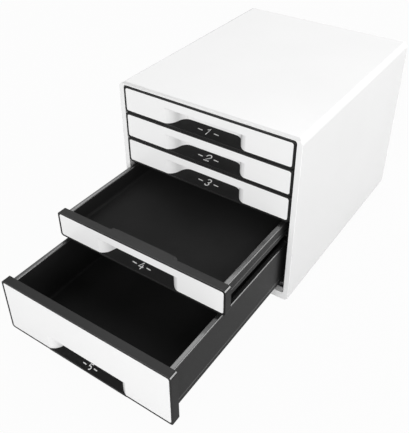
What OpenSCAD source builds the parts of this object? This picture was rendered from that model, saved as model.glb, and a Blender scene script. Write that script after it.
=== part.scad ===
// Desktop cabinet with five pull-out drawers: four shallow ones above a deep one.
// Millimetres. X runs across the front, Y runs from the front to the back, and Z is up.
// The origin lies on the standing surface, below the middle of the housing's front rim.

/* [Housing] */
// Width of the housing
body_w = 287; // [275:1:310]
// Depth of the housing, from the front rim to the back
body_d = 357; // [335:1:400]
// Height of the housing without its feet
body_h = 267; // [255:1:285]
// Thickness of the side walls
side_wall = 3; // [2:0.5:4]
// Thickness of the top wall
top_wall = 2.9; // [2:0.1:4]
// Thickness of the floor
floor_wall = 3; // [2:0.5:5]
// Thickness of the back panel
back_t = 3; // [2:0.5:5]
// Radius of the four long edges
corner_r = 8; // [5:0.5:12]
// Width of the front rim at each side
rim_w = 8; // [6:0.5:10]
// Height of the front sill below the lowest drawer
sill_h = 12; // [8:0.5:16]
// Depth of the front rim
rim_depth = 10; // [5:0.5:11]
// Radius of the corners of the front opening
opening_r = 4; // [2:0.5:6]

/* [Feet] */
// Height of the feet below the housing
foot_h = 3; // [2:0.5:8]
// Diameter of a foot
foot_d = 18; // [12:1:30]
// Depth of the round seat that a foot is stuck into
foot_seat = 1; // [0.5:0.1:1.5]
// Distance from a housing side or end to a foot's middle
foot_inset = 26; // [18:1:60]

/* [Drawers] */
// Height of a shallow drawer's front
shallow_h = 40.3; // [38:0.1:42]
// How far the fourth drawer stands open
fourth_open = 151.2; // [0:0.1:250]
// How far the lowest drawer stands open
lowest_open = 258.2; // [0:0.1:260]
// How far a drawer slides out before its stops meet
travel = 275; // [265:1:280]
// Gap between neighbouring drawer fronts
front_gap = 1.2; // [0.8:0.1:2]
// Gap between a front and the rim at each side
side_gap = 0.9; // [0.6:0.1:1.5]
// Gap above the top front
top_gap = 0.7; // [0.5:0.1:1.5]
// Gap below the lowest front
sill_gap = 0.9; // [0.6:0.1:1.5]

/* [Drawer front] */
// Depth of the hollow frame that carries the panel
frame_d = 12; // [11:0.5:14]
// How far the frame stands out of the housing's rim
frame_proud = 0.6; // [0.2:0.1:1.5]
// Wall thickness of the frame
frame_wall = 2; // [1.5:0.1:2.5]
// Radius of the frame's corners
frame_r = 3.5; // [2:0.5:5]
// Width of the frame's border round the panel
border = 2.4; // [1.8:0.1:3]
// Thickness of the panel
panel_t = 2.5; // [2:0.1:3]
// How far the panel stands out of the frame
panel_proud = 0.2; // [0.1:0.1:0.5]
// Radius of the panel's corners
panel_r = 2.5; // [1.5:0.5:4]
// Diameter of the pegs on the panel's back
peg_d = 4; // [3:0.5:5]
// Length of the pegs
peg_len = 4.5; // [3:0.5:5]
// Distance from the middle of the front to a peg
peg_x = 98; // [90:1:110]

/* [Finger pocket] */
// Width of the pocket's opening in the panel
mouth_w = 129; // [120:1:140]
// Height of the opening above the panel's lower edge
mouth_h = 23.5; // [20:0.1:25]
// Depth of the pocket at its floor
pocket_d = 23.3; // [20:0.1:28]
// Width of the straight back of the pocket
pocket_back_w = 73; // [60:1:80]
// Radius of the pocket's back corners
pocket_r = 15; // [12:0.5:17]
// Radius with which its ends flare out to the opening
flare_r = 19.5; // [16:0.5:24]
// Height of the pocket behind the opening
pocket_h = 27; // [25.5:0.5:28]
// Angle at which the back of the pocket leans forward
pocket_lean = 16; // [8:1:18]
// Slope of the pocket's floor
floor_slope = 8.5; // [4:0.5:10]
// Height of the floor's front edge above the panel's lower edge
floor_rise = 0.3; // [0.1:0.1:1]
// Thickness of the panel's lining round the pocket
lining_t = 1.2; // [1:0.1:1.5]
// Thickness of the tray's wall round the lining
pocket_wall = 1.8; // [1.5:0.1:2.5]
// Thickness of the label card
card_t = 0.4; // [0.3:0.1:0.6]
// Distance from the panel's face to the label card
card_inset = 0.6; // [0.4:0.1:2]
// How far the lip below the card stands out of the frame
lip_proud = 0.5; // [0.3:0.1:1]
// Width of the tray's bulge where it leaves the top band
bulge_foot_w = 104; // [90:1:112]
// Width of the straight part of the bulge
bulge_w = 82; // [70:1:86]

/* [Tray] */
// Thickness of the tray's walls
tray_wall = 2; // [1.5:0.1:2.5]
// Thickness of the tray's floor
tray_floor = 2; // [1.5:0.1:3]
// Thickness of the skirt outside the walls
skirt_t = 1.8; // [1.5:0.1:2.2]
// Width of the rim that joins wall and skirt
tray_rim_w = 7; // [6:0.5:8]
// Thickness of that rim
tray_rim_t = 2; // [1.5:0.1:2.5]
// Drop from the front's top edge to the rim
rim_drop = 3.65; // [3:0.05:4.5]
// Rise from the front's lower edge to the tray's underside
tray_lift = 9.3; // [8.5:0.1:10]
// Radius of the tray's long lower edges
tray_edge_r = 6.3; // [4:0.1:8]
// Radius of the tray's inner upright corners
well_r = 5; // [3:0.5:8]
// Radius of the tray's outer rear corners
tray_corner_r = 4; // [2:0.5:5]
// Room between a closed tray and the back panel
rear_gap = 9; // [6:0.5:15]
// Thickness of the ribs inside hollow walls
rib_t = 1.5; // [1:0.1:2]
// Greatest distance between neighbouring ribs
rib_pitch = 48; // [30:1:60]

/* [Runners] */
// Thickness of a runner's plate
plate_t = 2; // [1.5:0.1:3]
// Room between the plate and the tray
runner_room = 10.1; // [9:0.1:12]
// Thickness of the ledges that carry the trays
ledge_t = 2.5; // [2:0.1:3]
// How far a ledge reaches below its tray
ledge_reach = 16.4; // [10:0.1:25]
// Thickness of the fence that guides a tray's side
fence_t = 1.6; // [1.2:0.1:2]
// Height of the fence above its ledge
fence_h = 8; // [6:0.5:9]
// Thickness of the rail that holds a tray down
rail_t = 2; // [1.5:0.1:2]
// How far the rail reaches over the tray's rim
rail_reach = 4; // [2:0.5:6]
// Height of the stop tabs and stop blocks
stop_h = 6; // [4:0.5:7]
// Length of a stop tab at the tray's rear
tab_len = 6; // [4:0.5:10]
// How far a stop tab stands out of the tray
tab_w = 3.1; // [2:0.1:4]
// Length of a stop block on the runner
block_len = 8; // [5:0.5:12]
// Thickness of the ring that the back panel rests against
ring_t = 2; // [1.5:0.5:4]
// Width of that ring
ring_w = 2.5; // [2:0.5:4]
// Diameter of the pegs that hold a runner
runner_peg_d = 5; // [4:0.5:6]

/* [Clearances] */
// Clearance between the panel's edge and its recess
panel_gap = 0.15; // [0.1:0.05:0.3]
// Clearance round the panel's pegs and lining, and round the card
fit_gap = 0.3; // [0.2:0.05:0.4]
// Clearance between the lining's lower edge and the tray
seat_gap = 0.1; // [0.05:0.05:0.2]
// Clearance between a tray and its ledge
slide_gap = 0.3; // [0.2:0.05:0.5]
// Clearance between a tray and the parts beside and above it
guide_gap = 0.5; // [0.4:0.05:0.6]
// Clearance between a closed front and the runners
closed_gap = 0.6; // [0.4:0.1:1]
// Clearance between the housing and the pieces set into it
shell_gap = 0.2; // [0.1:0.05:0.4]

/* [Hidden] */
$fn = 48;
// Overshoot of a cut past the face that it opens
over = 1;
// Longer than any slanted cut
reach = 60;

drawer_count = 5;
LEVELS = [0 : drawer_count - 1];
FEET = [
  ["foot_front_left", -1, 0],
  ["foot_front_right", 1, 0],
  ["foot_rear_left", -1, 1],
  ["foot_rear_right", 1, 1]
];

// Housing
open_w = body_w - 2 * rim_w;
open_bottom = foot_h + sill_h;
open_top = foot_h + body_h - top_wall;
inner_w = body_w - 2 * side_wall;
inner_bottom = foot_h + floor_wall;
inner_h = open_top - inner_bottom;
inner_r = corner_r - side_wall;
back_y = body_d - back_t;
ring_y = back_y - ring_t;
runner_peg_len = side_wall / 2;
// Places of a runner's pegs, as shares of the housing's depth
front_peg_share = 0.12;
rear_peg_share = 0.86;
runner_peg_ys = [front_peg_share * body_d, rear_peg_share * body_d];

// Fronts, counted from the top
first_top = open_top - top_gap;
lowest_bottom = open_bottom + sill_gap;
function front_top(i) = first_top - i * (shallow_h + front_gap);
function front_bottom(i) = i < drawer_count - 1 ? front_top(i) - shallow_h : lowest_bottom;
function front_h(i) = front_top(i) - front_bottom(i);
function opened(i) = i == drawer_count - 1 ? lowest_open : i == drawer_count - 2 ? fourth_open : 0;
frame_w = open_w - 2 * side_gap;
panel_w = frame_w - 2 * border;
face_y = -frame_proud - panel_proud;
recess_y = face_y + panel_t;
frame_back = frame_d - frame_proud;
// Rows of the panel's pegs, as shares of its height: one on a shallow front, two on the deep one
shallow_peg_rows = [0.5];
deep_peg_rows = [0.25, 0.75];

// Pocket, above the lower edge of its front
pocket_half = pocket_back_w / 2 + pocket_r;
corner_x = pocket_back_w / 2;
corner_y = face_y + pocket_d - pocket_r;
tip_x = mouth_w / 2;
// A flare's circle touches the back corner's circle, and meets the face at the opening's end
tip_dx = tip_x - corner_x;
tip_dy = face_y - corner_y;
tip_reach = sqrt(tip_dx * tip_dx + tip_dy * tip_dy);
centres = pocket_r + flare_r;
flare_turn = atan2(tip_dy, tip_dx)
  + acos((tip_reach * tip_reach + centres * centres - flare_r * flare_r) / (2 * tip_reach * centres));
flare_x = corner_x + centres * cos(flare_turn);
flare_y = corner_y + centres * sin(flare_turn);
floor_front_z = border + floor_rise;
floor_back_z = floor_front_z + pocket_d * tan(floor_slope);
lining_room = lining_t + fit_gap;
block_grow = lining_room + pocket_wall;
cavity_top = border + pocket_h + lining_room;
block_top = cavity_top + pocket_wall;
// A front that ends this close above the pocket carries the bulge up to its top edge
bulge_reach = 14;
// Thickness of the bulge at that edge
cap_t = 2;
function lean_y(grow, z) = face_y + pocket_d + grow - tan(pocket_lean) * (z - floor_back_z);

// Tray
plate_x = inner_w / 2 - shell_gap - plate_t;
tray_half = inner_w / 2 - plate_t - runner_room;
well_half = tray_half - tray_rim_w;
tray_back = back_y - rear_gap;
well_back = tray_back - tray_rim_w;
function rim_z(h) = h - rim_drop;

// Runners
runner_front = frame_back + closed_gap;
runner_back = ring_y - shell_gap;
runner_len = runner_back - runner_front;
fence_x = tray_half + guide_gap;
ledge_x = tray_half - ledge_reach;
rail_x = tray_half - rail_reach;
stop_z = tray_lift - slide_gap + fence_h + guide_gap;
tab_back = tray_back - tray_corner_r;
stop_back = tab_back - tab_len - travel - slide_gap;

// ---- shared outlines ----

// Rounded rectangle standing on the X axis, centred across
module plate_outline(w, h, r) {
  translate([r - w / 2, 0]) square([w - 2 * r, h]);
  translate([-w / 2, r]) square([w, h - 2 * r]);
  for (x = [r - w / 2, w / 2 - r], y = [r, h - r]) translate([x, y]) circle(r);
}

// Extrudes an outline drawn in X and Z along Y
module along_y(y, length) {
  translate([0, y + length, 0]) rotate([90, 0, 0]) linear_extrude(length) children();
}

// Trough outline: upright sides and rounded lower edges
module trough_outline(w, h, r) {
  translate([r - w / 2, 0]) square([w - 2 * r, h]);
  translate([-w / 2, r]) square([w, h - r]);
  for (x = [r - w / 2, w / 2 - r]) translate([x, r]) circle(r);
}

// Plan with square front corners and round rear corners
module rear_round_plan(half, y0, y1, r) {
  translate([-half, y0]) square([2 * half, y1 - y0 - r]);
  translate([r - half, y0]) square([2 * (half - r), y1 - y0]);
  for (x = [r - half, half - r]) translate([x, y1 - r]) circle(r);
}

// ---- pocket ----

// Plan of the pocket: each end flares out to the front and runs into a round back corner
module pocket_plan(grow) {
  wide = min(tip_x + grow, flare_x);
  translate([-corner_x, face_y]) square([2 * corner_x, pocket_d + grow]);
  for (side = [0, 1]) mirror([side, 0]) {
    translate([corner_x, corner_y]) circle(pocket_r + grow);
    difference() {
      polygon([
        [-over, face_y - over], [wide, face_y - over], [wide, flare_y], [flare_x, flare_y],
        [corner_x, corner_y], [-over, corner_y]
      ]);
      translate([flare_x, flare_y]) circle(flare_r - grow);
    }
  }
}

// Space in front of the pocket's leaning back
module before_lean(grow) {
  translate([0, lean_y(grow, floor_back_z), floor_back_z]) rotate([pocket_lean, 0, 0])
    translate([-frame_w / 2, -reach, -reach]) cube([frame_w, reach, 2 * reach]);
}

// Space above the pocket's sloping floor
module above_floor(raise) {
  translate([0, face_y, floor_front_z + raise]) rotate([floor_slope, 0, 0])
    translate([-frame_w / 2, -reach, 0]) cube([frame_w, 2 * reach, reach]);
}

// The pocket's space, grown by a wall or a clearance
module pocket_space(grow, top, raise) {
  intersection() {
    translate([0, 0, -over]) linear_extrude(over + top) pocket_plan(grow);
    before_lean(grow);
    above_floor(raise);
  }
}

// ---- housing ----

module housing_shell() color("white") {
  difference() {
    translate([0, 0, foot_h]) along_y(0, body_d) plate_outline(body_w, body_h, corner_r);
    translate([0, 0, inner_bottom]) along_y(rim_depth, body_d) plate_outline(inner_w, inner_h, inner_r);
    translate([0, 0, open_bottom]) along_y(-over, rim_depth + 2 * over)
      plate_outline(open_w, open_top - open_bottom, opening_r);
    for (foot = FEET) foot_place(foot) translate([0, 0, foot_h - over])
      cylinder(d = foot_d + 2 * fit_gap, h = foot_seat + over);
    for (side = [-1, 1], y = runner_peg_ys, i = LEVELS)
      runner_peg_place(side, y, i)
        cylinder(d = runner_peg_d + 2 * shell_gap, h = runner_peg_len + shell_gap);
  }
  back_ring();
}

// Ring inside the walls that the back panel rests against
module back_ring() {
  translate([0, 0, inner_bottom]) difference() {
    along_y(ring_y, ring_t) plate_outline(inner_w, inner_h, inner_r);
    translate([0, 0, ring_w]) along_y(ring_y - over, ring_t + 2 * over)
      plate_outline(inner_w - 2 * ring_w, inner_h - 2 * ring_w, inner_r);
  }
}

module back_panel() color("white") {
  translate([0, 0, inner_bottom + shell_gap]) along_y(back_y, back_t)
    plate_outline(inner_w - 2 * shell_gap, inner_h - 2 * shell_gap, inner_r - shell_gap);
}

module foot_place(foot) {
  near = foot_inset;
  far = body_d - foot_inset;
  translate([foot[1] * (body_w / 2 - foot_inset), foot[2] == 0 ? near : far, 0]) children();
}

module rubber_foot(foot) color("dimgray") {
  foot_place(foot) cylinder(d = foot_d, h = foot_h + foot_seat);
}

// ---- runners ----

// Socket in a side wall, level with the ledge of a drawer, along X
module runner_peg_place(side, y, i) {
  translate([side * (inner_w / 2 - shell_gap), y, front_bottom(i) + tray_lift + fence_h / 2])
    rotate([0, side * 90, 0]) children();
}

// One side's runner: a plate with a ledge, a fence, a rail and a stop for each drawer
module runner() {
  intersection() {
    union() {
      translate([plate_x, runner_front, inner_bottom + inner_r])
        cube([plate_t, runner_len, inner_h - inner_r]);
      translate([plate_x - plate_t, runner_front, front_top(0) - rim_drop])
        cube([2 * plate_t, runner_len, inner_r]);
    }
    translate([0, 0, inner_bottom + shell_gap]) along_y(runner_front - over, runner_len + 2 * over)
      plate_outline(inner_w - 2 * shell_gap, inner_h - 2 * shell_gap, inner_r - shell_gap);
  }
  for (i = LEVELS) {
    translate([0, 0, front_bottom(i)]) runner_level(rim_z(front_h(i)));
    for (y = runner_peg_ys)
      runner_peg_place(1, y, i) cylinder(d = runner_peg_d, h = runner_peg_len);
  }
}

module runner_level(rim) {
  ledge_top = tray_lift - slide_gap;
  seat = plate_x + over / 2;
  translate([ledge_x, runner_front, ledge_top - ledge_t]) cube([seat - ledge_x, runner_len, ledge_t]);
  translate([fence_x, runner_front, ledge_top - ledge_t]) cube([fence_t, runner_len, ledge_t + fence_h]);
  translate([rail_x, runner_front, rim + guide_gap]) cube([seat - rail_x, runner_len, rail_t]);
  translate([fence_x, stop_back - block_len, stop_z]) cube([seat - fence_x, block_len, stop_h]);
}

module runner_right() color("#2a2b2d") runner();

module runner_left() color("#2a2b2d") mirror([1, 0, 0]) runner();

// ---- trays ----

// Places a drawer's own frame: at its level, as far out as it stands
module drawer_place(i) {
  translate([0, -opened(i), front_bottom(i)]) children();
}

// Places of the panel's pegs, seen from the tray
module peg_places(i) {
  rows = i == drawer_count - 1 ? deep_peg_rows : shallow_peg_rows;
  for (x = [-peg_x, peg_x], row = rows)
    translate([x, recess_y, border + row * (front_h(i) - 2 * border)]) rotate([-90, 0, 0]) children();
}

// Hollow frame behind the panel: open below, with a recess for the panel in its face
module front_frame(i) {
  h = front_h(i);
  hollow_y = recess_y + frame_wall;
  hollow_d = frame_back - frame_wall - hollow_y;
  difference() {
    along_y(-frame_proud, frame_d) plate_outline(frame_w, h, frame_r);
    translate([0, 0, border - panel_gap]) along_y(-frame_proud - over, recess_y + frame_proud + over)
      plate_outline(panel_w + 2 * panel_gap, h - 2 * border + 2 * panel_gap, panel_r);
    translate([frame_wall - frame_w / 2, hollow_y, -over])
      cube([frame_w - 2 * frame_wall, hollow_d, h - frame_wall + over]);
    peg_places(i) translate([0, 0, -over]) cylinder(d = peg_d + 2 * fit_gap, h = frame_wall + 2 * over);
  }
  rib_count = ceil(frame_w / rib_pitch);
  for (n = [1 : rib_count - 1]) {
    x = -frame_w / 2 + n * frame_w / rib_count;
    translate([x - rib_t / 2, hollow_y - over / 2, border])
      cube([rib_t, hollow_d + over, h - border - over]);
  }
}

// Tub with an inner wall, a rim and an outer skirt that is open below
module tub(h) {
  rim = rim_z(h);
  joint_y = frame_back - frame_wall / 2;
  wall_half = well_half + tray_wall;
  wall_back = well_back + tray_wall;
  skirt_z = tray_lift + tray_edge_r;
  translate([0, 0, tray_lift]) along_y(joint_y, wall_back - joint_y)
    trough_outline(2 * wall_half, rim - tray_lift, tray_edge_r);
  translate([0, 0, rim - tray_rim_t]) linear_extrude(tray_rim_t)
    rear_round_plan(tray_half, joint_y, tray_back, tray_corner_r);
  difference() {
    translate([0, 0, skirt_z]) linear_extrude(rim - skirt_z)
      rear_round_plan(tray_half, joint_y, tray_back, tray_corner_r);
    translate([0, 0, skirt_z - over]) linear_extrude(rim - skirt_z + 2 * over)
      rear_round_plan(tray_half - skirt_t, joint_y - over, tray_back - skirt_t, tray_corner_r - skirt_t);
  }
  side_count = ceil((tray_back - frame_back) / rib_pitch);
  rib_w = tray_rim_w - tray_wall - skirt_t;
  for (side = [-1, 1], n = [1 : side_count - 1])
    translate([side * (wall_half + rib_w / 2), frame_back + n * (well_back - frame_back) / side_count,
               (skirt_z + rim) / 2])
      cube([rib_w + over, rib_t, rim - skirt_z - over], center = true);
  rear_count = ceil(2 * well_half / rib_pitch);
  for (n = [1 : rear_count - 1])
    translate([-well_half + n * 2 * well_half / rear_count, wall_back + rib_w / 2, (skirt_z + rim) / 2])
      cube([rib_t, rib_w + over, rim - skirt_z - over], center = true);
  for (side = [-1, 1])
    translate([side * (tray_half + tab_w / 2 - over / 2), tab_back - tab_len / 2, stop_z + stop_h / 2])
      cube([tab_w + over, tab_len, stop_h], center = true);
}

// Space that a drawer holds
module well(h) {
  floor_z = tray_lift + tray_floor;
  intersection() {
    translate([0, frame_back, floor_z]) linear_extrude(h)
      plate_outline(2 * well_half, well_back - frame_back, well_r);
    translate([0, 0, floor_z]) along_y(frame_back - over, well_back)
      trough_outline(2 * well_half, h, tray_edge_r - tray_wall);
  }
}

// Plan of the bulge at the top band, with an S-shaped end at each side
module bulge_plan(back) {
  foot_x = bulge_foot_w / 2;
  top_x = bulge_w / 2;
  half_dx = (foot_x - top_x) / 2;
  half_dy = (back - frame_back) / 2;
  r = (half_dx * half_dx + half_dy * half_dy) / (2 * half_dy);
  translate([-top_x, frame_back - over]) square([2 * top_x, back - frame_back + over]);
  for (side = [-1, 1]) {
    intersection() {
      translate([side * top_x, back - r]) circle(r);
      translate([side * (top_x + half_dx / 2), frame_back + half_dy - over / 2])
        square([half_dx + over, 2 * half_dy + over], center = true);
    }
    difference() {
      translate([side * (foot_x - half_dx), frame_back + (half_dy - over) / 2])
        square([2 * half_dx, half_dy + over], center = true);
      translate([side * foot_x, frame_back + r]) circle(r);
    }
  }
}

// Block that closes in the pocket, with its nose below the label card
module pocket_block(h) {
  to_top = h - block_top < bulge_reach;
  shoulder = atan((pocket_half + block_grow - bulge_foot_w / 2 + over) / (h - cap_t - block_top));
  intersection() {
    linear_extrude(to_top ? h - over : block_top) pocket_plan(block_grow);
    before_lean(block_grow);
    translate([-frame_w / 2, recess_y, 0]) cube([frame_w, reach, h]);
    if (to_top) for (side = [0, 1]) mirror([side, 0, 0])
      translate([pocket_half + block_grow, 0, block_top]) rotate([0, -shoulder, 0])
        translate([-frame_w, -reach, -reach]) cube([frame_w, 2 * reach, 2 * reach]);
  }
  if (to_top) translate([0, 0, h - cap_t]) linear_extrude(cap_t) bulge_plan(lean_y(block_grow, h));
  difference() {
    linear_extrude(floor_back_z) pocket_plan(-fit_gap);
    above_floor(-card_t);
    translate([-frame_w / 2, -frame_proud - reach, 0]) cube([frame_w, reach, reach]);
  }
  translate([-tip_x, -frame_proud - lip_proud, 0]) cube([2 * tip_x, lip_proud + fit_gap, border]);
}

module tray(i) color("#2a2b2d") {
  h = front_h(i);
  drawer_place(i) difference() {
    union() {
      front_frame(i);
      difference() {
        tub(h);
        well(h);
      }
      pocket_block(h);
    }
    intersection() {
      pocket_space(lining_room, cavity_top, -card_t);
      translate([-frame_w / 2, recess_y - over, 0]) cube([frame_w, reach, h]);
    }
  }
}

// ---- panels and cards ----

module front_panel(i) color("white") {
  h = front_h(i);
  drawer_place(i) difference() {
    union() {
      translate([0, 0, border]) along_y(face_y, panel_t) plate_outline(panel_w, h - 2 * border, panel_r);
      intersection() {
        pocket_space(lining_t, border + pocket_h + lining_t, seat_gap - card_t);
        translate([-frame_w / 2, recess_y - over, 0]) cube([frame_w, reach, h]);
      }
      peg_places(i) translate([0, 0, -over]) cylinder(d = peg_d, h = peg_len + over);
    }
    pocket_space(0, border + mouth_h, -2 * over);
    intersection() {
      pocket_space(0, border + pocket_h, -2 * over);
      translate([-frame_w / 2, recess_y, 0]) cube([frame_w, reach, h]);
    }
  }
}

module label_card(i) color("#1c1c1e") {
  drawer_place(i) difference() {
    intersection() {
      linear_extrude(floor_back_z + over) pocket_plan(-fit_gap);
      translate([-frame_w / 2, face_y + card_inset, 0]) cube([frame_w, reach, reach]);
      above_floor(-card_t);
    }
    above_floor(0);
  }
}

// ---- assembly ----

housing_shell();
back_panel();
runner_left();
runner_right();
for (foot = FEET) rubber_foot(foot);
for (i = LEVELS) {
  tray(i);
  front_panel(i);
  label_card(i);
}
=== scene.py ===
import math

import bmesh
import bpy
from mathutils import Matrix, Vector


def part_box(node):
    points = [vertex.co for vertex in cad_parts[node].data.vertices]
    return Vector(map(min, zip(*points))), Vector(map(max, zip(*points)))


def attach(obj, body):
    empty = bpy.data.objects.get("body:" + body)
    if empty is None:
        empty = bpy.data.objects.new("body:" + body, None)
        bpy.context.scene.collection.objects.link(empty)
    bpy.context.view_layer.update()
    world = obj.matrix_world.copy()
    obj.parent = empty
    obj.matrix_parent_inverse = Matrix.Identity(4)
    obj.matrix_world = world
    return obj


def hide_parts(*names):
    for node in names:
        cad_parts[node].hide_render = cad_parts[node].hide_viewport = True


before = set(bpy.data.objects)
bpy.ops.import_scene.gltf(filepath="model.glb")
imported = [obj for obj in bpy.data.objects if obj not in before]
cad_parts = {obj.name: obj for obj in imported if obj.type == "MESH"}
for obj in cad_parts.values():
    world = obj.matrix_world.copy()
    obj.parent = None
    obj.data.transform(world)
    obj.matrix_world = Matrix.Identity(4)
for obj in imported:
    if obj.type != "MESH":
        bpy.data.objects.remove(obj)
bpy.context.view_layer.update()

MM = 0.001

# ---- camera ----
# The camera stands to the right of the front and looks down on the open drawers. Its
# lens is shifted slightly, so that it tilts less and the upright edges converge less.
camera_at = Vector((409.29, -592.39, 660.23)) * MM
camera_turn, camera_dip, camera_roll = (math.radians(a) for a in (34.582, 35.437, -0.261))
aim = (
    Matrix.Rotation(camera_turn, 3, "Z")
    @ Matrix.Rotation(math.pi / 2 - camera_dip, 3, "X")
    @ Matrix.Rotation(camera_roll, 3, "Z")
)
bpy.ops.object.camera_add(location=camera_at, rotation=aim.to_euler())
camera = bpy.context.object
camera.data.lens = 52.442
camera.data.sensor_width = 36
camera.data.shift_y = -0.07
camera.data.clip_end = 50
bpy.context.scene.camera = camera
bpy.context.scene.view_settings.view_transform = "Standard"


# ---- floor, backdrop and light ----
# A pale studio floor and a surround, which the camera sees as plain white and the gloss
# mirrors faintly. Soft boxes above, at the right and in front light the object evenly,
# and the wide one in front isn't mirrored in the gloss.
class Value:
    """A shader socket, on which + and * add Math nodes."""

    def __init__(self, nodes, socket):
        self.nodes = nodes
        self.socket = socket

    def maths(self, operation, first, second):
        return self.nodes.add("ShaderNodeMath", {"operation": operation}, {0: first, 1: second})

    def __add__(self, other):
        return self.maths("ADD", self, other)

    def __radd__(self, other):
        return self.maths("ADD", other, self)

    def __mul__(self, other):
        return self.maths("MULTIPLY", self, other)

    def __rmul__(self, other):
        return self.maths("MULTIPLY", other, self)


class Nodes:
    """The node tree of a material or of the world."""

    def __init__(self, owner):
        owner.use_nodes = True
        self.owner = owner
        self.tree = owner.node_tree

    def add(self, kind, settings=None, sockets=None, output=0):
        """Adds a node: its settings first, then the values or links of its sockets.
        A ramp's stops are pairs of a place and a grey."""
        node = self.tree.nodes.new(kind)
        for name, value in (settings or {}).items():
            if name == "stops":
                ramp = node.color_ramp
                while len(ramp.elements) < len(value):
                    ramp.elements.new(1)
                for element, (place, grey) in zip(ramp.elements, value):
                    element.position = place
                    element.color = (grey, grey, grey, 1)
            else:
                setattr(node, name, value)
        self.join(node, sockets or {})
        return Value(self, node.outputs[output])

    def join(self, node, sockets):
        """Gives a node's sockets their values or links."""
        for name, value in sockets.items():
            socket = node.inputs[name]
            if isinstance(value, Value):
                self.tree.links.new(value.socket, socket)
            else:
                socket.default_value = value


mirror_share = 0.2


def seen_share(nodes):
    """1 for the camera, less for reflections, 0 for the light that falls on a surface."""
    camera_ray = nodes.add("ShaderNodeLightPath", output="Is Camera Ray")
    glossy_ray = nodes.add("ShaderNodeLightPath", output="Is Glossy Ray")
    clear_ray = nodes.add("ShaderNodeLightPath", output="Is Transmission Ray")
    return camera_ray + (glossy_ray + clear_ray) * mirror_share


surround_light = 0.38
surround = Nodes(bpy.context.scene.world or bpy.data.worlds.new("surround"))
bpy.context.scene.world = surround.owner
seen = seen_share(surround)
surround.join(
    surround.tree.nodes["Background"],
    {"Color": (1, 1, 1, 1), "Strength": surround_light + seen * (1 - surround_light)},
)

floor_size = 14
floor_whitening = 0.96
paper_grain = 60.0
paper_stops = ((0, 0.42), (1, 0.46))
bpy.ops.mesh.primitive_plane_add(size=floor_size)
floor = bpy.context.object
floor.name = "studio_floor"
paper = Nodes(bpy.data.materials.new("studio_paper"))
paper_shader = paper.tree.nodes["Principled BSDF"]
grain = paper.add(
    "ShaderNodeTexNoise",
    sockets={"Vector": paper.add("ShaderNodeTexCoord", output="Object"), "Scale": paper_grain},
)
tone = paper.add("ShaderNodeValToRGB", {"stops": paper_stops}, {"Fac": grain})
paper.join(paper_shader, {"Base Color": tone, "Roughness": 0.9, "Specular IOR Level": 0.1})
glow = paper.add("ShaderNodeEmission", sockets={"Color": (1, 1, 1, 1), "Strength": 1.0})
blend = paper.add(
    "ShaderNodeMixShader",
    sockets={
        0: seen_share(paper) * floor_whitening,
        1: Value(paper, paper_shader.outputs[0]),
        2: glow,
    },
)
paper.join(paper.tree.nodes["Material Output"], {"Surface": blend})
floor.data.materials.append(paper.owner)

lamp_aim = Vector((0, 0.05, 0.12))
for name, place, width, watts, mirrored in (
    ("box_above", (-0.5, 0.88, 1.7), 1.5, 12, True),
    ("box_right", (1.6, 0.8, 1.0), 1.4, 22, True),
    ("box_front", (1.3, -5.8, 2.2), 4.0, 330, False),
):
    toward = lamp_aim - Vector(place)
    bpy.ops.object.light_add(
        type="AREA", location=place, rotation=toward.to_track_quat("-Z", "Y").to_euler()
    )
    lamp = bpy.context.object
    lamp.name = name
    lamp.data.shape = "SQUARE"
    lamp.data.size = width
    lamp.data.energy = watts
    lamp.visible_glossy = mirrored


# ---- housing ----
# One moulded shell of glossy white plastic: top, sides, floor, and a front rim round the
# drawers with a bevel along its top. The rim's front faces carry painted shade, a little
# greyer than the shell, and the bevel a deeper painted shade under a matt finish. A ring
# inside holds the back panel.
def only(*pieces):
    """Selects these objects and nothing else, and works on the first."""
    bpy.ops.object.select_all(action="DESELECT")
    for piece in pieces:
        piece.select_set(True)
    bpy.context.view_layer.objects.active = pieces[0]


def pick(piece, kind, test):
    """Selects the vertices, edges or faces of an edited mesh that pass a test."""
    mesh = bmesh.from_edit_mesh(piece.data)
    bpy.ops.mesh.select_all(action="DESELECT")
    bpy.ops.mesh.select_mode(type=kind)
    mesh.verts.index_update()
    for item in {"VERT": mesh.verts, "EDGE": mesh.edges, "FACE": mesh.faces}[kind]:
        item.select_set(test(item))
    bmesh.update_edit_mesh(piece.data)


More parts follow.
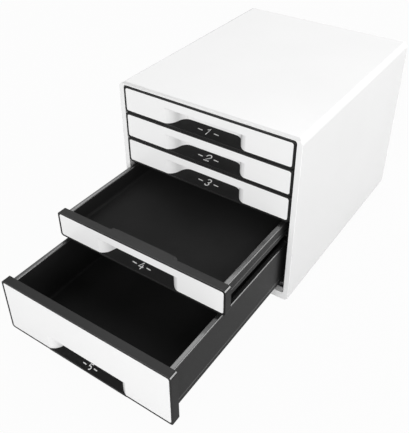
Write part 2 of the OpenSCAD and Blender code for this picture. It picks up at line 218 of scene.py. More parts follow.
def loft(name, hoops, upright=False, closed=False):
    """A skin through rounded rectangles, each (left, right, low, high, radius, level).
    Low and high are heights on an upright hoop and depths on a flat one. The hoops are
    bridged while they stand a metre apart, and then moved to their levels."""
    corner_steps = 6
    corners = 4 * (corner_steps + 1)
    turn = (math.pi / 2, 0, 0) if upright else (0, 0, 0)
    bpy.ops.object.select_all(action="DESELECT")
    bpy.ops.mesh.primitive_plane_add()
    piece = bpy.context.object
    piece.name = name
    bpy.ops.object.mode_set(mode="EDIT")
    bpy.ops.mesh.select_all(action="SELECT")
    bpy.ops.mesh.delete(type="VERT")
    for number, (left, right, low, high, radius, level) in enumerate(hoops):
        across, along = (left + right) / 2, (low + high) / 2
        middle = (across, number, along) if upright else (across, along, number)
        size = (right - left, 1, high - low) if upright else (right - left, high - low, 1)
        bpy.ops.mesh.select_all(action="DESELECT")
        bpy.ops.mesh.primitive_plane_add(size=1, location=middle, rotation=turn)
        bpy.ops.transform.resize(value=size, center_override=middle)
        bpy.ops.mesh.bevel(offset=radius, segments=corner_steps, affect="VERTICES")
        bpy.ops.mesh.delete(type="ONLY_FACE")

    def hoop_of(edge):
        first, second = (vertex.index // corners for vertex in edge.verts)
        return first if first == second else None

    for number in range(len(hoops) - (0 if closed else 1)):
        pair = (number, (number + 1) % len(hoops))
        pick(piece, "EDGE", lambda edge: hoop_of(edge) in pair)
        bpy.ops.mesh.bridge_edge_loops()
    open_ends = () if closed else (0, len(hoops) - 1)
    for end in open_ends:
        pick(piece, "EDGE", lambda edge: hoop_of(edge) == end)
        bpy.ops.mesh.edge_face_add()
    for number, hoop in enumerate(hoops):
        pick(piece, "VERT", lambda vertex: vertex.index // corners == number)
        shift = hoop[-1] - number
        bpy.ops.transform.translate(value=(0, shift, 0) if upright else (0, 0, shift))
    face_outwards()
    bpy.ops.object.mode_set(mode="OBJECT")
    return piece


def face_outwards():
    """Turns all faces of the edited mesh outwards."""
    bpy.ops.mesh.select_mode(type="FACE")
    bpy.ops.mesh.select_all(action="SELECT")
    bpy.ops.mesh.normals_make_consistent(inside=False)


def rounding(radius, steps=3):
    """How far a rounded edge stands in from the side and from the end, step by step."""
    turns = [math.pi / 2 * step / steps for step in range(steps + 1)]
    return [(radius * (1 - math.cos(t)), radius * (1 - math.sin(t))) for t in turns]


least_corner = 0.2 * MM


def hoop_in(hoop, inset, level, corner=None):
    """A hoop's outline, given without its level, moved inwards by an inset to a level."""
    left, right, low, high, radius = hoop
    radius = max(radius - inset, least_corner) if corner is None else corner
    return (left + inset, right - inset, low + inset, high - inset, radius, level)


sharp_angle = math.radians(32)


def smooth(piece):
    """Shades a piece smooth, apart from its sharp edges, and keeps its flat faces flat."""
    only(piece)
    bpy.ops.object.shade_smooth_by_angle(angle=sharp_angle)
    level = piece.modifiers.new("level", "WEIGHTED_NORMAL")
    level.keep_sharp = True
    bpy.ops.object.modifier_apply(modifier=level.name)


def moulded_plastic(
    name, grey, spread, roughness, grain_size, grain_depth, mirror=0.5, coat=0.0
):
    """Moulded plastic: faint flow clouds in colour and gloss, under a fine grained skin.
    Clouds and grain swing the roughness evenly to both sides of its value."""
    cloud_scale, cloud_share = 11.0, 0.8
    cloud_gloss, grain_gloss = 0.08, 0.06
    nodes = Nodes(bpy.data.materials.new(name))
    place = nodes.add("ShaderNodeTexCoord", output="Object")
    clouds = nodes.add(
        "ShaderNodeTexNoise", sockets={"Vector": place, "Scale": cloud_scale, "Detail": 3.0}
    )
    grain = nodes.add(
        "ShaderNodeTexNoise",
        sockets={"Vector": place, "Scale": 1 / grain_size, "Detail": 2.0},
    )
    colour = nodes.add(
        "ShaderNodeValToRGB",
        {"stops": ((0.25, grey - spread), (0.75, grey + spread))},
        {"Fac": clouds * cloud_share + grain * (1 - cloud_share)},
    )
    skin = nodes.add(
        "ShaderNodeBump", sockets={"Strength": 0.5, "Distance": grain_depth, "Height": grain}
    )
    smoothest = roughness - (cloud_gloss + grain_gloss) / 2
    nodes.join(
        nodes.tree.nodes["Principled BSDF"],
        {
            "Base Color": colour,
            "Roughness": clouds * cloud_gloss + grain * grain_gloss + smoothest,
            "Specular IOR Level": mirror,
            "Coat Weight": coat,
            "Coat Roughness": 0.14,
            "Normal": skin,
        },
    )
    return nodes.owner


def slice_off(piece, point, normal):
    """Cuts a piece through, takes off the side that the normal points to and closes it."""
    only(piece)
    bpy.ops.object.mode_set(mode="EDIT")
    bpy.ops.mesh.select_all(action="SELECT")
    bpy.ops.mesh.bisect(plane_co=point, plane_no=normal, use_fill=True, clear_outer=True)
    bpy.ops.object.mode_set(mode="OBJECT")


def refinish(piece, material, test):
    """Gives another finish to the faces of a piece that pass a test."""
    piece.data.materials.append(material)
    only(piece)
    bpy.ops.object.mode_set(mode="EDIT")
    pick(piece, "FACE", test)
    piece.active_material_index = len(piece.data.materials) - 1
    bpy.ops.object.material_slot_assign()
    bpy.ops.object.mode_set(mode="OBJECT")


shell_low, shell_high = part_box("housing_shell")
shell_edge = 8 * MM
shell_front_edge = 0.8 * MM
shell_back_edge = 0.8 * MM
shell_wall = 3 * MM
shell_top_wall = 2.9 * MM
rim_side = 8 * MM
rim_sill = 12 * MM
rim_depth = 10 * MM
rim_bevel_depth = 5.5 * MM
rim_bevel_drop = 1.6 * MM
opening_edge = 0.5 * MM
opening_corner = 4 * MM
rim_step = 0.1 * MM
ring_width = 2.5 * MM
ring_depth = 2 * MM
back_thickness = 3 * MM
# A face faces a way when its normal reaches this far along it, and lies on a slope when its
# normal is this near to the slope's.
facing = 0.9
same_slope = 0.05

outside = (shell_low.x, shell_high.x, shell_low.z, shell_high.z, shell_edge)
opening = (
    shell_low.x + rim_side,
    shell_high.x - rim_side,
    shell_low.z + rim_sill,
    shell_high.z - shell_top_wall,
    opening_corner,
)
cavity = (
    shell_low.x + shell_wall,
    shell_high.x - shell_wall,
    shell_low.z + shell_wall,
    shell_high.z - shell_top_wall,
    shell_edge - shell_wall,
)
shell_depth = shell_high.y
back_seat = shell_depth - back_thickness

shell_hoops = [
    hoop_in(outside, side, shell_depth - end)
    for side, end in reversed(rounding(shell_back_edge))
]
shell_hoops += [hoop_in(outside, side, end) for side, end in rounding(shell_front_edge)]
shell_hoops += [hoop_in(opening, -side, end) for end, side in rounding(opening_edge)]
shell_hoops += [
    hoop_in(opening, 0, rim_depth),
    hoop_in(cavity, 0, rim_depth + rim_step),
    hoop_in(cavity, 0, back_seat - ring_depth),
    hoop_in(cavity, ring_width, back_seat - ring_depth),
    hoop_in(cavity, ring_width, back_seat),
    hoop_in(cavity, 0, back_seat),
    hoop_in(cavity, 0, shell_depth - shell_back_edge / 2),
    hoop_in(cavity, -shell_back_edge / 2, shell_depth),
]
housing = loft("housing_body", shell_hoops, upright=True, closed=True)
bevel_slope = Vector((0, -rim_bevel_drop, rim_bevel_depth)).normalized()
slice_off(housing, (0, rim_bevel_depth, shell_high.z), bevel_slope)
smooth(housing)
housing_white = moulded_plastic(
    "housing_white_plastic",
    grey=0.88, spread=0.008, roughness=0.2, grain_size=0.9 * MM, grain_depth=0.02 * MM,
)
# Painted shade: the rim's front faces are the shell's own plastic, painted a little greyer (0.84
# against 0.88).
painted_shade_rim_white = moulded_plastic(
    "rim_painted_shade_plastic",
    grey=0.84, spread=0.008, roughness=0.3, grain_size=0.9 * MM, grain_depth=0.02 * MM,
)
# Painted shade: the bevel is the shell's own plastic, painted mid grey (0.7) along the top's
# front edge, with less gloss than the shell.
painted_shade_bevel_white = moulded_plastic(
    "bevel_painted_shade_plastic",
    grey=0.7, spread=0.008, roughness=0.45, grain_size=0.9 * MM, grain_depth=0.03 * MM,
    mirror=0.15,
)
housing.data.materials.append(housing_white)
# The front-facing faces of the rim take the greyer copy of the plastic, as painted shade.
refinish(housing, painted_shade_rim_white, lambda face: face.normal.y < -facing)
# The bevel's faces take the mid-grey copy of the plastic, as painted shade.
refinish(housing, painted_shade_bevel_white, lambda face: (face.normal - bevel_slope).length < same_slope)
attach(housing, "cabinet")
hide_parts("housing_shell")


# ---- back panel ----
# A flat white plate pressed into the rear of the shell, against the ring inside it. A
# narrow groove runs round its outer face, where it meets the shell.
plate_low, plate_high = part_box("back_panel")
plate_edge = 0.5 * MM
groove_width = 0.6 * MM
groove_depth = 1 * MM
plate_outline = (plate_low.x, plate_high.x, plate_low.z, plate_high.z, shell_edge - shell_wall)
back_hoops = [
    hoop_in(plate_outline, 0, plate_low.y),
    hoop_in(plate_outline, 0, plate_high.y - groove_depth),
    hoop_in(plate_outline, groove_width, plate_high.y - groove_depth),
]
back_hoops += [
    hoop_in(plate_outline, groove_width + side, plate_high.y - end)
    for side, end in rounding(plate_edge)
]
back_plate = loft("back_plate", back_hoops, upright=True)
smooth(back_plate)
back_plate.data.materials.append(housing_white)
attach(back_plate, "cabinet")
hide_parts("back_panel")


# ---- feet ----
# Four round pads of dark rubber, stuck into shallow seats under the housing, with a
# rounded lower edge and a dished underside.
def place_apply(piece, place):
    """Moves a finished piece's mesh to its place, with the object left at the origin."""
    only(piece)
    piece.location = place
    bpy.ops.object.transform_apply(location=True, rotation=True, scale=True)


def copy_of(piece, name):
    """A copy of a piece, with its own mesh."""
    only(piece)
    bpy.ops.object.duplicate()
    twin = bpy.context.object
    twin.name = name
    return twin


foot_sides = 48
foot_edge = 0.7 * MM
foot_ring = 2 * MM
dish_depth = 0.3 * MM
dish_slope = 0.5 * MM
foot_low, foot_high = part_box("foot_front_left")
foot_width = foot_high.x - foot_low.x
foot_middle = (foot_low + foot_high) / 2
bpy.ops.object.select_all(action="DESELECT")
bpy.ops.mesh.primitive_cylinder_add(
    vertices=foot_sides,
    radius=foot_width / 2,
    depth=foot_high.z - foot_low.z,
    location=foot_middle,
)
foot = bpy.context.object
foot.name = "rubber_foot_front_left"
bpy.ops.object.transform_apply(location=True)
bpy.ops.object.mode_set(mode="EDIT")
pick(foot, "FACE", lambda face: face.normal.z < -facing)
bpy.ops.mesh.bevel(offset=foot_edge, segments=4, affect="EDGES")
pick(foot, "FACE", lambda face: face.normal.z < -facing and face.calc_area() > foot_width**2 / 4)
bpy.ops.mesh.inset(thickness=foot_ring)
bpy.ops.mesh.inset(thickness=dish_slope, depth=-dish_depth)
bpy.ops.object.mode_set(mode="OBJECT")
smooth(foot)
rubber = moulded_plastic(
    "foot_rubber",
    grey=0.035, spread=0.012, roughness=0.75, grain_size=0.35 * MM, grain_depth=0.05 * MM,
)
foot.data.materials.append(rubber)
for node in ("foot_front_left", "foot_front_right", "foot_rear_left", "foot_rear_right"):
    pad = foot if node == "foot_front_left" else copy_of(foot, "rubber_" + node)
    low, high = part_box(node)
    place_apply(pad, (low + high) / 2 - foot_middle)
    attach(pad, "cabinet")
    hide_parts(node)


# ---- runners ----
# A black moulded plate on each inner side, with a ledge, a fence and a hold-down rail for
# every drawer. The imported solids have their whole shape, and get the black finish.
satin_black = moulded_plastic(
    "satin_black_plastic",
    grey=0.018, spread=0.004, roughness=0.42, grain_size=0.25 * MM, grain_depth=0.03 * MM,
    mirror=0.22,
)
for node in ("runner_left", "runner_right"):
    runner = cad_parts[node]
    runner.data.materials.clear()
    runner.data.materials.append(satin_black)


# ---- drawer fronts ----
# Each white front is one moulding: a flat plate that sits in the recess of the tray's
# frame, with a lining that reaches back round the finger pocket, and pegs behind it.
def combine(piece, tool, operation):
    """Joins a tool to a piece or cuts it out of the piece, and uses the tool up."""
    change = piece.modifiers.new("change", "BOOLEAN")
    change.operation = operation
    change.object = tool
    change.solver = "EXACT"
    only(piece)
    bpy.ops.object.modifier_apply(modifier=change.name)
    only(tool)
    bpy.ops.object.delete()


arc_step = 11
joined = 0.001 * MM


def trace(name, start, moves, depth):
    """Draws a level outline with lines and arcs, from a start (across, along, height). Each
    arc turns about a centre by degrees. With a depth, the outline is closed and extruded."""

    def spot(across, along):
        return Vector((across, along, start[2]))

    at = Vector(start)
    bpy.ops.object.select_all(action="DESELECT")
    bpy.ops.mesh.primitive_plane_add(size=MM, location=at)
    piece = bpy.context.object
    piece.name = name
    bpy.ops.object.transform_apply(location=True)
    bpy.ops.object.mode_set(mode="EDIT")
    bpy.ops.mesh.select_mode(type="VERT")
    bpy.ops.mesh.select_all(action="SELECT")
    bpy.ops.mesh.merge(type="CENTER")
    for move in moves:
        if move[0] == "line":
            goal = spot(*move[1])
            bpy.ops.mesh.extrude_region_move(TRANSFORM_OT_translate={"value": goal - at})
        else:
            centre = spot(*move[1])
            turn = math.radians(move[2])
            goal = centre + Matrix.Rotation(turn, 3, "Z") @ (at - centre)
            steps = max(2, round(abs(move[2]) / arc_step))
            bpy.ops.mesh.spin(steps=steps, angle=turn, center=centre, axis=(0, 0, -1))
        at = goal
    if depth:
        bpy.ops.mesh.select_all(action="SELECT")
        bpy.ops.mesh.remove_doubles(threshold=joined)
        bpy.ops.mesh.edge_face_add()
        bpy.ops.mesh.extrude_region_move(TRANSFORM_OT_translate={"value": (0, 0, depth)})
        bpy.ops.mesh.select_all(action="SELECT")
        bpy.ops.mesh.normals_make_consistent(inside=False)
    bpy.ops.object.mode_set(mode="OBJECT")
    return piece


# How far joined shapes reach into each other and cutters past a face, and the distance
# under which two places count as one.
overlap = 1 * MM
hair = 0.01 * MM
forwards = (0, -1, 0)
first_low, first_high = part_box("tray_1")
panel_low, panel_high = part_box("front_panel_1")
front_half = first_high.x
panel_half = panel_high.x
front_face = panel_low.y
border = panel_low.z - first_low.z
panel_thickness = 2.5 * MM
recess = front_face + panel_thickness
panel_corner = 3 * MM
panel_edge = 0.35 * MM
panel_trim = 0.3 * MM
panel_side_trim = 0.5 * MM
peg_place = 98 * MM
peg_radius = 2 * MM
peg_length = 4.5 * MM
peg_sides = 24
tall_front = 60 * MM

mouth_half = 64.5 * MM
mouth_height = 23.5 * MM
pocket_depth = 23.3 * MM
pocket_corner = 15 * MM
pocket_height = 27 * MM
pocket_lean = math.radians(16)
pocket_back_half = 36.5 * MM
corner_at = Vector((pocket_back_half, front_face + pocket_depth - pocket_corner))
flare_radius = 19.5 * MM
to_mouth = Vector((mouth_half, front_face)) - corner_at
to_flare = pocket_corner + flare_radius
flare_turn = math.atan2(to_mouth.y, to_mouth.x) + math.acos(
    (to_mouth.length**2 + to_flare**2 - flare_radius**2) / (2 * to_mouth.length * to_flare)
)
flare_at = corner_at + to_flare * Vector((math.cos(flare_turn), math.sin(flare_turn)))
floor_slope = math.radians(8.5)
floor_lift = 0.3 * MM
floor_front = border + floor_lift
floor_back = floor_front + pocket_depth * math.tan(floor_slope)
lean_normal = (0, math.cos(pocket_lean), math.sin(pocket_lean))
floor_normal = (0, -math.sin(floor_slope), math.cos(floor_slope))
under_normal = (0, math.sin(floor_slope), -math.cos(floor_slope))
lining = 1.2 * MM
lining_lift = 0.1 * MM
clearance = 0.3 * MM
card_thickness = 0.4 * MM


def pocket_prism(name, grow, low, high):
    """The pocket's plan, grown by a wall, as an upright block. Each end flares out to the
    front, and runs into a round back corner."""
    wide = min(mouth_half + grow, flare_at.x - hair)
    radius = flare_radius - grow
    start = flare_at.y - math.sqrt(radius**2 - (flare_at.x - wide) ** 2)
    bend = math.degrees(math.atan2(start - flare_at.y, wide - flare_at.x)) + 180
    sweep = bend - math.degrees(flare_turn)
    corner_sweep = 90 - math.degrees(flare_turn)
    rear = front_face + pocket_depth + grow
    moves = [
        ("line", (wide, front_face - overlap)),
        ("line", (wide, start)),
        ("round", flare_at, -sweep),
        ("round", corner_at, corner_sweep),
        ("line", (-corner_at.x, rear)),
        ("round", (-corner_at.x, corner_at.y), corner_sweep),
        ("round", (-flare_at.x, flare_at.y), -sweep),
    ]
    return trace(name, (-wide, front_face - overlap, low), moves, high - low)


def lean_point(grow, height):
    """Where the pocket's leaning back stands at a height."""
    return front_face + pocket_depth + grow - math.tan(pocket_lean) * (height - floor_back)


def pocket_form(name, grow, top, rise):
    """The pocket's space, grown by a wall or a clearance, over its sloping floor."""
    piece = pocket_prism(name, grow, -overlap, top)
    slice_off(piece, (0, lean_point(grow, floor_back), floor_back), lean_normal)
    slice_off(piece, (0, front_face, floor_front + rise), under_normal)
    return piece


def block(name, left, right, front, back, low, high, edge=0.0):
    """A block between these sides, with rounded edges where it has an edge radius."""
    bpy.ops.object.select_all(action="DESELECT")
    bpy.ops.mesh.primitive_cube_add(
        size=1, location=((left + right) / 2, (front + back) / 2, (low + high) / 2)
    )
    piece = bpy.context.object
    piece.name = name
    piece.scale = (right - left, back - front, high - low)
    bpy.ops.object.transform_apply(location=True, scale=True)
    if edge:
        bpy.ops.object.mode_set(mode="EDIT")
        bpy.ops.mesh.select_all(action="SELECT")
        bpy.ops.mesh.bevel(offset=edge, segments=2, affect="EDGES")
        bpy.ops.object.mode_set(mode="OBJECT")
    return piece


def on_mouth(edge):
    """Whether an edge runs along the top of the mouth in the front face."""
    return all(
        abs(spot.y - front_face) < hair
        and abs(spot.z - border - mouth_height) < hair
        and abs(spot.x) < mouth_half + 10 * hair
        for spot in (vertex.co for vertex in edge.verts)
    )


def drawer_front(name, height):
    """A panel with its lining and pegs, at a closed drawer's own place."""
    half, low = panel_half - panel_side_trim, border + panel_trim
    plate = (-half, half, low, height - low, panel_corner)
    edge = reversed(rounding(panel_edge))
    hoops = [hoop_in(plate, side, front_face + end) for side, end in edge]
    piece = loft(name, hoops + [hoop_in(plate, 0, recess)], upright=True)
    sleeve_top = border + pocket_height + lining
    sleeve = pocket_form("sleeve", lining, sleeve_top, lining_lift - card_thickness)
    slice_off(sleeve, (0, recess - overlap, 0), forwards)
    combine(piece, sleeve, "UNION")
    space = pocket_form("space", 0, border + pocket_height, -2 * overlap)
    slice_off(space, (0, recess, 0), forwards)
    combine(piece, space, "DIFFERENCE")
    mouth = pocket_form("mouth", 0, border + mouth_height, -2 * overlap)
    combine(piece, mouth, "DIFFERENCE")
    only(piece)
    bpy.ops.object.mode_set(mode="EDIT")
    pick(piece, "EDGE", on_mouth)
    bpy.ops.mesh.bevel(offset=panel_edge, segments=2, affect="EDGES", clamp_overlap=False)
    bpy.ops.object.mode_set(mode="OBJECT")
    peg_rows = (0.5,) if height < tall_front else (0.25, 0.75)
    for hand in (-1, 1):
        for row in peg_rows:
            along = recess + (peg_length - overlap) / 2
            rise = border + row * (height - 2 * border)
            bpy.ops.object.select_all(action="DESELECT")
            bpy.ops.mesh.primitive_cylinder_add(
                vertices=peg_sides,
                radius=peg_radius,
                depth=peg_length + overlap,
                location=(hand * peg_place, along, rise),
                rotation=(math.pi / 2, 0, 0),
            )
            combine(piece, bpy.context.object, "UNION")
    smooth(piece)
    piece.data.materials.clear()
    piece.data.materials.append(panel_white)
    return piece


drawer_numbers = range(1, 6)
closed_front = first_low.y
same_height = 0.1 * MM


def drawer_place(number):
    """Where a drawer is, against a closed one at the level of the floor, and its height."""
    low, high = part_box(f"tray_{number}")
    return Vector((0, low.y - closed_front, low.z)), high.z - low.z


def for_each_drawer(name, make):
    """Makes a piece once for each height of drawer, copies it for the drawers that are as
    high, and puts them all in their places."""
    made = {}
    for number in drawer_numbers:
        place, height = drawer_place(number)
        alike = next((n for n in made if abs(made[n][1] - height) < same_height), None)
        if alike is None:
            piece = make(f"{name}_{number}", height)
        else:
            piece = copy_of(made[alike][0], f"{name}_{number}")
        made[number] = (piece, height, place)
    for piece, height, place in made.values():
        place_apply(piece, place)
    return [(number, made[number][0]) for number in drawer_numbers]


panel_white = moulded_plastic(
    "panel_white_plastic",
    grey=0.86, spread=0.006, roughness=0.17, grain_size=1.1 * MM, grain_depth=0.015 * MM,
)
for number, piece in for_each_drawer("drawer_front", drawer_front):
    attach(piece, f"drawer_{number}")
    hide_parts(f"front_panel_{number}")


# ---- trays ----
# Each tray is one black moulding: a hollow frame round the front, and a tub with a flat
# rim, an outer skirt with ribs behind it, and a block that closes in the finger pocket.
frame_front = -0.95 * MM
frame_back = 11.4 * MM
frame_wall = 2 * MM
frame_corner = 4.2 * MM
frame_edge = 0.35 * MM
panel_gap = 0.15 * MM
tray_half = 128.4 * MM
tray_back = first_high.y
tray_corner = 4 * MM
rim_drop = 3.65 * MM
rim_width = 7 * MM
rim_thickness = 2 * MM
rim_edge = 1.6 * MM
tub_overrun = 1.4 * MM
tray_lift = 9.3 * MM
tray_floor = 2 * MM
tray_wall = 2 * MM
skirt = 1.8 * MM
bead = 0.3 * MM
bead_height = 6.8 * MM
bead_slope = 0.8 * MM
under_edge = 6.3 * MM
under_steps = 5
well_corner = 5 * MM
pocket_wall = 1.8 * MM
bulge_foot = 52 * MM
bulge_top = 41 * MM
bulge_reach = 14 * MM
bulge_cap = 2 * MM
lip_out = 0.3 * MM
lip_edge = 0.2 * MM
rib = 1.5 * MM
rib_pitch = 48 * MM
tab_out = 3.1 * MM
tab_length = 6 * MM
tab_height = 6 * MM
tab_rise = 17.5 * MM
tab_edge = 0.4 * MM


def tray_tub(name, height):
    """The tub: skirt, rim, inner wall, floor and underside, in one closed skin."""
    rim = height - rim_drop
    skirt_low = tray_lift + under_edge
    front = frame_back - rim_width - tub_overrun
    outer = (-tray_half, tray_half, front, tray_back, tray_corner)
    inner = hoop_in(outer, rim_width, 0, well_corner)[:-1]
    body = hoop_in(inner, -tray_wall, 0)[:-1]
    underside = reversed(rounding(under_edge, under_steps))
    hoops = [hoop_in(body, side, tray_lift + end) for side, end in underside]
    hoops += [
        hoop_in(body, 0, rim - rim_thickness),
        hoop_in(outer, skirt, rim - rim_thickness),
        hoop_in(outer, skirt, skirt_low),
        hoop_in(outer, -bead, skirt_low),
        hoop_in(outer, -bead, skirt_low + bead_height),
        hoop_in(outer, 0, skirt_low + bead_height + bead_slope),
    ]
    hoops += [hoop_in(outer, side, rim - end) for side, end in rounding(rim_edge)]
    hoops += [hoop_in(inner, -side, rim - end) for side, end in reversed(rounding(rim_edge))]
    floor_edge = rounding(under_edge - tray_wall, under_steps)
    well_floor = tray_lift + tray_floor
    hoops += [hoop_in(inner, side, well_floor + end) for side, end in floor_edge]
    piece = loft(name, hoops)
    slice_off(piece, (0, frame_back - frame_wall / 2, 0), forwards)
    return piece


def dividers(low, high, count):
    """The places that divide a length into a count of equal parts."""
    return [low + part * (high - low) / count for part in range(1, count)]


def ribs(name, height):
    """The thin ribs that join the skirt to the tub and the two walls of the front frame."""
    well_half = tray_half - rim_width
    well_back = tray_back - rim_width
    low, high = tray_lift + under_edge + overlap / 2, height - rim_drop - overlap / 2
    reach = rim_width - tray_wall - skirt + overlap
    spots = []
    side_parts = math.ceil((tray_back - frame_back) / rib_pitch)
    for along in dividers(frame_back, well_back, side_parts):
        for hand in (-1, 1):
            across = hand * (well_half + tray_wall - overlap / 2 + reach / 2)
            spots.append((across, along, reach, rib, low, high))
    rear_parts = math.ceil(2 * well_half / rib_pitch)
    for across in dividers(-well_half, well_half, rear_parts):
        along = well_back + tray_wall - overlap / 2 + reach / 2
        spots.append((across, along, rib, reach, low, high))
    gap = frame_back - recess - 2 * frame_wall + overlap
    front_parts = math.ceil(2 * front_half / rib_pitch)
    for across in dividers(-front_half, front_half, front_parts):
        along = (frame_back + recess) / 2
        spots.append((across, along, rib, gap, border, height - overlap))
    blocks = [
        block(name, x - wide / 2, x + wide / 2, y - deep / 2, y + deep / 2, z, top)
        for x, y, wide, deep, z, top in spots
    ]
    only(*blocks)
    bpy.ops.object.join()
    return bpy.context.object


def front_frame(name, height):
    """The hollow frame behind the panel, open below, with a recess in its face."""
    outline = (-front_half, front_half, 0, height, frame_corner)
    edge = rounding(frame_edge)
    hoops = [hoop_in(outline, side, frame_front + end) for side, end in reversed(edge)]
    hoops += [hoop_in(outline, side, frame_back - end) for side, end in edge]
    piece = loft(name, hoops, upright=True)
    grown, low = panel_half - panel_side_trim + panel_gap, border + panel_trim - panel_gap
    seat = (-grown, grown, low, height - low, panel_corner)
    tool = loft("recess", [(*seat, frame_front - overlap), (*seat, recess)], upright=True)
    combine(piece, tool, "DIFFERENCE")
    room = front_half - frame_wall
    tool = block(
        "hollow", -room, room, recess + frame_wall, frame_back - frame_wall, -overlap,
        height - frame_wall,
    )
    combine(piece, tool, "DIFFERENCE")
    return piece


def bulge(name, height, cap):
    """The pocket's bulge in the top band, with an S-shaped end at each side."""
    back = lean_point(lining + clearance + pocket_wall, height)
    half_step = (bulge_foot - bulge_top) / 2
    half_depth = (back - frame_back) / 2
    radius = (half_step**2 + half_depth**2) / (2 * half_depth)
    sweep = math.degrees(math.asin(half_step / radius))
    moves = [
        ("line", (bulge_foot, frame_back - overlap)),
        ("line", (bulge_foot, frame_back)),
        ("round", (bulge_foot, frame_back + radius), -sweep),
        ("round", (bulge_top, back - radius), sweep),
        ("line", (-bulge_top, back)),
        ("round", (-bulge_top, back - radius), sweep),
        ("round", (-bulge_foot, frame_back + radius), -sweep),
    ]
    return trace(name, (-bulge_foot, frame_back - overlap, height - cap), moves, cap)


def pocket_block(name, height):
    """The block round the pocket, carried up to the top band on a shallow drawer."""
    grow = lining + clearance + pocket_wall
    top = border + pocket_height + grow
    reaches_up = height - top < bulge_reach
    piece = pocket_prism(name, grow, 0, height - overlap if reaches_up else top)
    slice_off(piece, (0, lean_point(grow, floor_back), floor_back), lean_normal)
    slice_off(piece, (0, recess, 0), forwards)
    if reaches_up:
        side = corner_at.x + pocket_corner + grow
        rise = height - bulge_cap - top
        tilt = math.atan((side - bulge_foot + overlap) / rise)
        for hand in (-1, 1):
            normal = (hand * math.cos(tilt), 0, math.sin(tilt))
            slice_off(piece, (hand * side, 0, top), normal)
        combine(piece, bulge("bulge", height, bulge_cap), "UNION")
    return piece


slant_low, slant_high = 0.5, 0.85
lip_shine = 0.3 * MM
lip_slant = 0.3


def on_rim(face, height):
    """Whether a face lies on the flat rim or on its rounded edges."""
    spot = face.calc_center_median()
    return spot.y > frame_back and 0 <= height - rim_drop - spot.z < rim_edge


def on_bead(face):
    """Whether a face is the sloping upper edge of the bead along the skirt's foot."""
    spot = face.calc_center_median()
    rise = spot.z - tray_lift - under_edge - bead_height
    return spot.y > frame_back and abs(spot.x) > tray_half - skirt and 0 < rise < bead_slope


def on_corner(face, height):
    """Whether a face lies on a rounded upper corner of the front frame."""
    spot = face.calc_center_median()
    in_corner = front_half - abs(spot.x) < frame_corner and height - spot.z < frame_corner
    return in_corner and spot.y < frame_back and slant_low < face.normal.z < slant_high


def on_lip(face):
    """Whether a face lies on the upper edge of the lip below the finger pocket."""
    spot = face.calc_center_median()
    on_top = border - spot.z < lip_shine and face.normal.z > lip_slant
    return on_top and spot.y < frame_front + clearance


def is_polished(face, height):
    """Whether a face belongs to the edges that use has polished."""
    return on_rim(face, height) or on_bead(face) or on_corner(face, height) or on_lip(face)


def in_well(face, height):
    """Whether a face lies inside the tub, below its rim."""
    spot = face.calc_center_median()
    return (
        frame_back < spot.y < tray_back - rim_width + overlap / 2
        and abs(spot.x) < tray_half - rim_width + overlap / 2
        and tray_lift + overlap < spot.z < height - rim_drop - rim_edge
    )


polished_black = moulded_plastic(
    "polished_black_plastic",
    grey=0.02, spread=0.004, roughness=0.26, grain_size=0.4 * MM, grain_depth=0.02 * MM,
    mirror=1.0, coat=1.0,
)
matt_black = moulded_plastic(
    "matt_black_plastic",
    grey=0.018, spread=0.004, roughness=0.6, grain_size=0.3 * MM, grain_depth=0.05 * MM,
    mirror=0.1,
)


def drawer_tray(name, height):
    """A whole tray, at a closed drawer's own place."""
    piece = front_frame(name, height)
    combine(piece, tray_tub("tub", height), "UNION")
    combine(piece, ribs("ribs", height), "UNION")
    combine(piece, pocket_block("pocket_block", height), "UNION")
    grow = lining + clearance
    space = pocket_form("space", grow, border + pocket_height + grow, -card_thickness)
    slice_off(space, (0, recess - overlap, 0), forwards)
    combine(piece, space, "DIFFERENCE")
    nose = pocket_prism("nose", -clearance, 0, floor_back)
    slice_off(nose, (0, frame_front, 0), forwards)
    slice_off(nose, (0, front_face, floor_front - card_thickness), floor_normal)
    combine(piece, nose, "UNION")
    lip_front, lip_back = frame_front - lip_out, frame_front + clearance
    lip = block("lip", -mouth_half, mouth_half, lip_front, lip_back, 0, border, lip_edge)
    combine(piece, lip, "UNION")
    back = tray_back - tray_corner
    tab_top = tab_rise + tab_height
    for hand in (-1, 1):
        left, right = sorted((hand * (tray_half - overlap / 2), hand * (tray_half + tab_out)))
        tab = block("tab", left, right, back - tab_length, back, tab_rise, tab_top, tab_edge)
        combine(piece, tab, "UNION")
    smooth(piece)
    piece.data.materials.clear()
    piece.data.materials.append(satin_black)
    refinish(piece, polished_black, lambda face: is_polished(face, height))
    refinish(piece, matt_black, lambda face: in_well(face, height))
    return piece


for number, piece in for_each_drawer("drawer_tray", drawer_tray):
    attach(piece, f"drawer_{number}")
    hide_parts(f"tray_{number}")


# ---- label cards ----
# A matt black card that lies on the sloping floor of each finger pocket, cut to the
# pocket's plan, with its front edge a little behind the front face.
card_front = 0.6 * MM
card_stock = 20 * MM
card_black = moulded_plastic(
    "card_black",
    grey=0.012, spread=0.004, roughness=0.8, grain_size=0.5 * MM, grain_depth=0.03 * MM,
    mirror=0.3,
)
for number in drawer_numbers:
    place, _ = drawer_place(number)
    piece = pocket_prism(f"drawer_label_{number}", -clearance, 0, card_stock)
    slice_off(piece, (0, front_face + card_front, 0), forwards)
    slice_off(piece, (0, front_face, floor_front), floor_normal)
    slice_off(piece, (0, front_face, floor_front - card_thickness), under_normal)
    smooth(piece)
    piece.data.materials.append(card_black)
    place_apply(piece, place)
    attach(piece, f"drawer_{number}")
    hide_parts(f"label_card_{number}")


# ---- numbers ----
# The drawer's number, drawn on its card with a chalk pen between two short dashes. The
# ink is a thin raised line, rounded at its edges and uneven like chalk.
ink_width = 1.4 * MM
ink_thickness = 0.16 * MM
dashes = (((-13, 0.3), ("line", (-7, -0.2))), ((7, 0.2), ("line", (13, -0.3))))
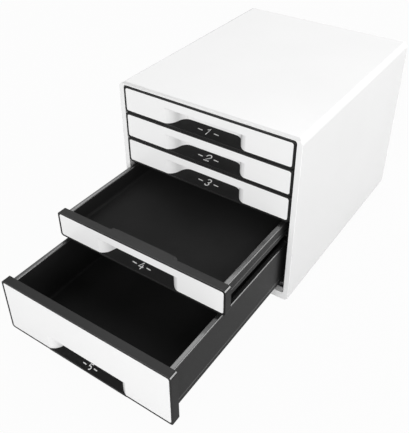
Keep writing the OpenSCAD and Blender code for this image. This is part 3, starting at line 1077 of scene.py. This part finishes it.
# How far each number's middle lies behind the front face in mm, its size, and its lines.
numbers = {
    1: (11.5, 1.3, ((-2.2, 2.4), ("line", (0.4, 4.8)), ("line", (-0.3, -4.8)))),
    2: (
        11.5,
        1.3,
        (
            (-2.9, 1.6),
            ("round", (-0.1, 2.0), -205),
            ("line", (-3.2, -4.6)),
            ("line", (3.3, -4.3)),
        ),
    ),
    3: (11.5, 1.3, ((-2.6, 3.7), ("round", (-0.4, 2.5), -245), ("round", (-0.3, -2.2), -265))),
    4: (
        9.8,
        1.15,
        ((0.6, 4.8), ("line", (-3.2, -1.7)), ("line", (3.3, -1.3))),
        ((1.5, 1.6), ("line", (0.9, -5))),
    ),
    5: (
        6.6,
        0.9,
        (
            (2.9, 4.7),
            ("line", (-1.7, 4.4)),
            ("line", (-2.2, 0.3)),
            ("round", (-0.2, -1.7), -215),
        ),
    ),
}


def pen_lines(name, size, lines):
    """Lines of the chalk pen, drawn in millimetres times a size, on a level card."""
    scale = size * MM
    parts = []
    for start, *moves in lines:
        drawn = [(move[0], Vector(move[1]) * scale, *move[2:]) for move in moves]
        parts.append(trace(name, (start[0] * scale, start[1] * scale, 0), drawn, 0))
    only(*parts)
    bpy.ops.object.join()
    bpy.ops.object.mode_set(mode="EDIT")
    bpy.ops.mesh.select_all(action="SELECT")
    bpy.ops.mesh.remove_doubles(threshold=joined)
    bpy.ops.object.mode_set(mode="OBJECT")
    bpy.ops.object.convert(target="CURVE")
    piece = bpy.context.object
    piece.data.bevel_depth = ink_width / 2
    piece.data.bevel_resolution = 2
    piece.data.use_fill_caps = True
    bpy.ops.object.convert(target="MESH")
    piece = bpy.context.object
    bpy.ops.object.mode_set(mode="EDIT")
    bpy.ops.mesh.select_all(action="SELECT")
    bpy.ops.mesh.remove_doubles(threshold=joined)
    face_outwards()
    bpy.ops.object.mode_set(mode="OBJECT")
    piece.scale = (1, 1, ink_thickness / ink_width)
    bpy.ops.object.transform_apply(scale=True)
    smooth(piece)
    return piece


chalk_ink = moulded_plastic(
    "chalk_ink",
    grey=0.86, spread=0.1, roughness=0.85, grain_size=0.35 * MM, grain_depth=0.05 * MM,
    mirror=0.2,
)
for number in drawer_numbers:
    place, _ = drawer_place(number)
    middle, size, *lines = numbers[number]
    piece = pen_lines(f"drawer_number_{number}", size, (*lines, *dashes))
    piece.data.materials.append(chalk_ink)
    piece.rotation_euler = (floor_slope, 0, 0)
    along = middle * MM
    spot = Vector((0, front_face + along, floor_front + math.tan(floor_slope) * along))
    place_apply(piece, place + spot)
    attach(piece, f"drawer_{number}")
